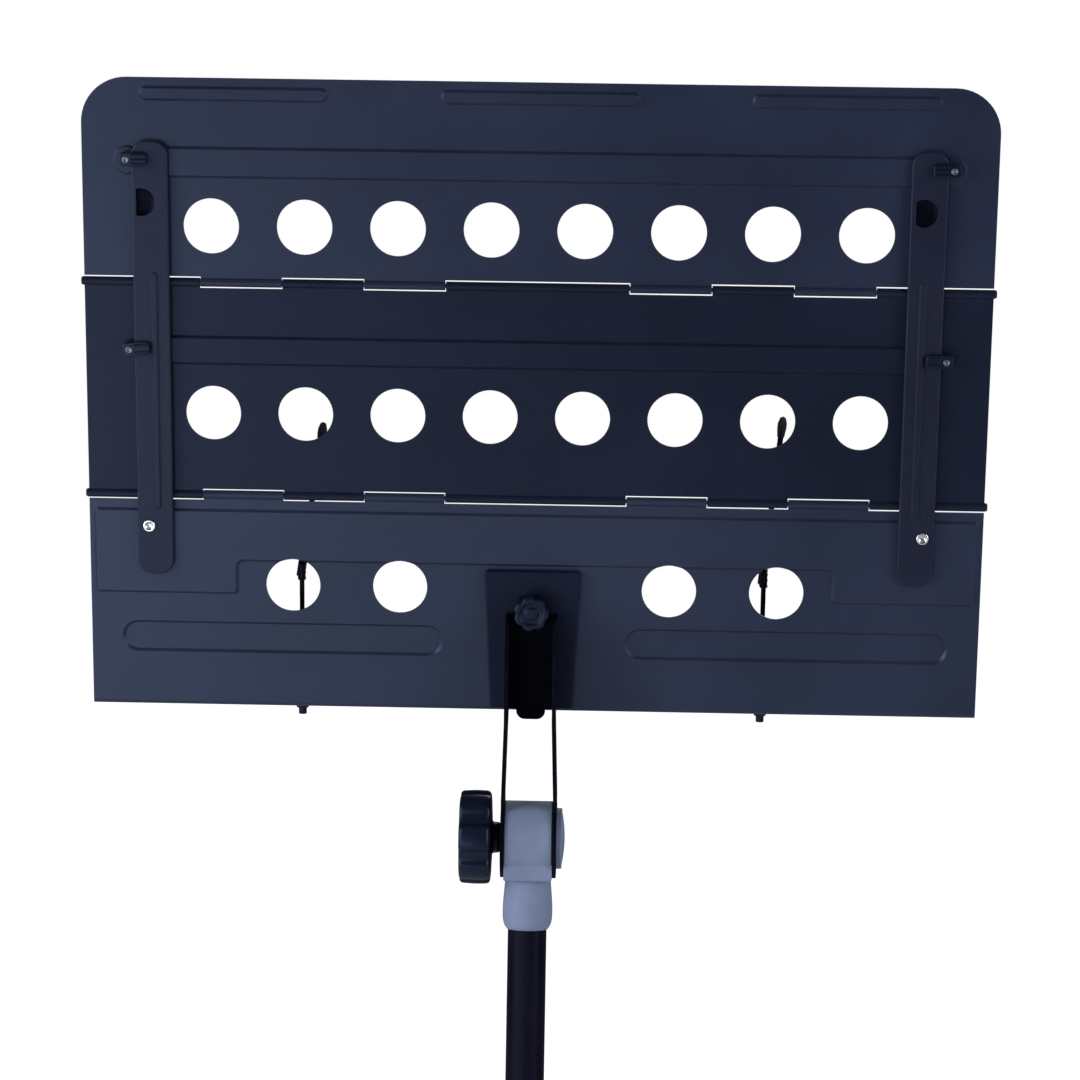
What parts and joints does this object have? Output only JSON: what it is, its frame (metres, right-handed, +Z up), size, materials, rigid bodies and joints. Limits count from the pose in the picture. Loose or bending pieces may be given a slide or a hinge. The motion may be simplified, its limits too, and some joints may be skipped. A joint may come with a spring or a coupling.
{
  "type": "music stand",
  "caption": "Folding orchestra music stand: perforated three-panel desk with stiffener arms, turn latches and page holders, clamped tilt head, telescopic mast and folding tripod.",
  "frame": {"origin": "on the floor, on the mast's axis", "axes": "+Z up along the mast, -Y towards the audience (the back of the desk), +X to the right seen from the audience side"},
  "size_m": [0.5996, 0.523, 1.2179],
  "materials": {
    "panel": "satin blue-black powder coat",
    "arm": "satin blue-black powder coat",
    "hinge_steel": "coated hinge pins",
    "rivet": "bright plated rivets",
    "black_plastic": "moulded black plastic, fine texture",
    "wire": "gloss black coated rod",
    "tip_rubber": "soft black caps",
    "grey_plastic": "blue-grey moulded plastic",
    "mast_black": "gloss black coat",
    "bolt_steel": "zinc-plated steel",
    "foot_rubber": "black rubber",
    "bush_plastic": "natural low-friction plastic"
  },
  "bodies": {
    "base": {"outer_tube": "mast_black", "height_collar": "grey_plastic", "collar_bush": "bush_plastic", "base_plug": "foot_rubber", "leg_hub": "grey_plastic", "leg_bolts": "bolt_steel"},
    "height_clamp": {"height_knob": "black_plastic", "height_screw": "bolt_steel"},
    "leg_a": {"leg_1": "mast_black", "foot_1": "foot_rubber"},
    "leg_b": {"leg_2": "mast_black", "foot_2": "foot_rubber"},
    "leg_c": {"leg_3": "mast_black", "foot_3": "foot_rubber"},
    "mast": {"inner_tube": "mast_black", "tube_plug": "black_plastic", "tilt_head": "grey_plastic", "tilt_bolt": "bolt_steel", "tilt_cap": "grey_plastic"},
    "tilt_clamp": {"tilt_knob": "black_plastic"},
    "desk": {"lower_panel": "panel", "ledge": "panel", "lower_hinge_pin": "hinge_steel", "arm_rivets": "rivet", "arm_spacers": "black_plastic", "holder_bases": "bolt_steel", "holder_nuts": "black_plastic", "desk_bracket": "panel", "bracket_nut": "bolt_steel", "yoke": "mast_black"},
    "desk_clamp": {"desk_knob": "black_plastic", "desk_screw": "bolt_steel"},
    "middle_leaf": {"middle_panel": "panel", "upper_hinge_pin": "hinge_steel", "middle_latch_rivets": "rivet"},
    "upper_leaf": {"upper_panel": "panel", "upper_latch_rivets": "rivet"},
    "left_stiffener": {"left_arm": "arm"},
    "right_stiffener": {"right_arm": "arm"},
    "latch_ul": {"upper_left_latch": "black_plastic"},
    "latch_ur": {"upper_right_latch": "black_plastic"},
    "latch_ml": {"middle_left_latch": "black_plastic"},
    "latch_mr": {"middle_right_latch": "black_plastic"},
    "left_holder": {"left_holder_rod": "wire", "left_holder_sleeve": "wire"},
    "right_holder": {"right_holder_rod": "wire", "right_holder_sleeve": "wire"},
    "left_holder_top": {"left_holder_slider": "wire", "left_holder_tip": "tip_rubber"},
    "right_holder_top": {"right_holder_slider": "wire", "right_holder_tip": "tip_rubber"}
  },
  "joints": [
    {"name": "mast_height", "type": "slide", "parent": "base", "child": "mast", "axis": [0, 0, 1], "range_m": [-0.11, 0.2]},
    {"name": "desk_tilt", "type": "hinge", "parent": "mast", "child": "desk", "pos_m": [0, 0, 0.8], "axis": [1, 0, 0], "range_deg": [-15, 75]},
    {"name": "tilt_knob_turn", "type": "hinge", "parent": "mast", "child": "tilt_clamp", "pos_m": [0, 0, 0.8], "axis": [-1, 0, 0], "range_deg": [0, 360]},
    {"name": "desk_knob_turn", "type": "hinge", "parent": "desk", "child": "desk_clamp", "pos_m": [0, -0.02593, 0.92878], "axis": [0, -0.9739, -0.2272], "range_deg": [0, 360]},
    {"name": "height_knob_turn", "type": "hinge", "parent": "base", "child": "height_clamp", "pos_m": [-0.035, 0, 0.484], "axis": [-1, 0, 0], "range_deg": [0, 360]},
    {"name": "middle_panel_fold", "type": "hinge", "parent": "desk", "child": "middle_leaf", "pos_m": [0, -0.02627, 0.99185], "axis": [-1, 0, 0], "range_deg": [0, 155]},
    {"name": "upper_panel_fold", "type": "hinge", "parent": "middle_leaf", "child": "upper_leaf", "pos_m": [0, -0.0535, 1.10861], "axis": [-1, 0, 0], "range_deg": [-155, 0]},
    {"name": "left_arm_swing", "type": "hinge", "parent": "desk", "child": "left_stiffener", "pos_m": [-0.2147, -0.02621, 0.974], "axis": [0, 0.9739, 0.2272], "range_deg": [0, 90]},
    {"name": "right_arm_swing", "type": "hinge", "parent": "desk", "child": "right_stiffener", "pos_m": [0.2171, -0.02621, 0.974], "axis": [0, -0.9739, -0.2272], "range_deg": [0, 90]},
    {"name": "upper_left_latch_turn", "type": "hinge", "parent": "upper_leaf", "child": "latch_ul", "pos_m": [-0.2238, -0.07528, 1.17336], "axis": [0, 0.9739, 0.2272], "range_deg": [-90, 90]},
    {"name": "upper_right_latch_turn", "type": "hinge", "parent": "upper_leaf", "child": "latch_ur", "pos_m": [0.2262, -0.07528, 1.17336], "axis": [0, -0.9739, -0.2272], "range_deg": [-90, 90]},
    {"name": "middle_left_latch_turn", "type": "hinge", "parent": "middle_leaf", "child": "latch_ml", "pos_m": [-0.2238, -0.05143, 1.0711], "axis": [0, 0.9739, 0.2272], "range_deg": [-90, 90]},
    {"name": "middle_right_latch_turn", "type": "hinge", "parent": "middle_leaf", "child": "latch_mr", "pos_m": [0.2262, -0.05143, 1.0711], "axis": [0, -0.9739, -0.2272], "range_deg": [-90, 90]},
    {"name": "left_holder_swing", "type": "hinge", "parent": "desk", "child": "left_holder", "pos_m": [-0.1323, 0.02274, 0.89443], "axis": [0, 0.9739, 0.2272], "range_deg": [0, 80]},
    {"name": "right_holder_swing", "type": "hinge", "parent": "desk", "child": "right_holder", "pos_m": [0.131, 0.02274, 0.89443], "axis": [0, -0.9739, -0.2272], "range_deg": [0, 80]},
    {"name": "left_holder_retract", "type": "slide", "parent": "left_holder", "child": "left_holder_top", "axis": [-0.1495, 0.2246, -0.9629], "range_m": [0, 0.062]},
    {"name": "right_holder_retract", "type": "slide", "parent": "right_holder", "child": "right_holder_top", "axis": [-0.0958, 0.2261, -0.9694], "range_m": [0, 0.066]},
    {"name": "leg_1_fold", "type": "hinge", "parent": "base", "child": "leg_a", "pos_m": [0, -0.038, 0.084], "axis": [-1, 0, 0], "range_deg": [0, 98]},
    {"name": "leg_2_fold", "type": "hinge", "parent": "base", "child": "leg_b", "pos_m": [0.03291, 0.019, 0.084], "axis": [0.5, -0.866, 0], "range_deg": [0, 98]},
    {"name": "leg_3_fold", "type": "hinge", "parent": "base", "child": "leg_c", "pos_m": [-0.03291, 0.019, 0.084], "axis": [0.5, 0.866, 0], "range_deg": [0, 98]}
  ],
  "couplings": [
    {"joint": "upper_panel_fold", "follows": "middle_panel_fold", "ratio": -1},
    {"joint": "left_holder_swing", "follows": "middle_panel_fold", "ratio": 0.51612},
    {"joint": "right_holder_swing", "follows": "middle_panel_fold", "ratio": 0.51612},
    {"joint": "left_holder_retract", "follows": "middle_panel_fold", "m_per_rad": 0.022917},
    {"joint": "right_holder_retract", "follows": "middle_panel_fold", "m_per_rad": 0.024396}
  ]
}
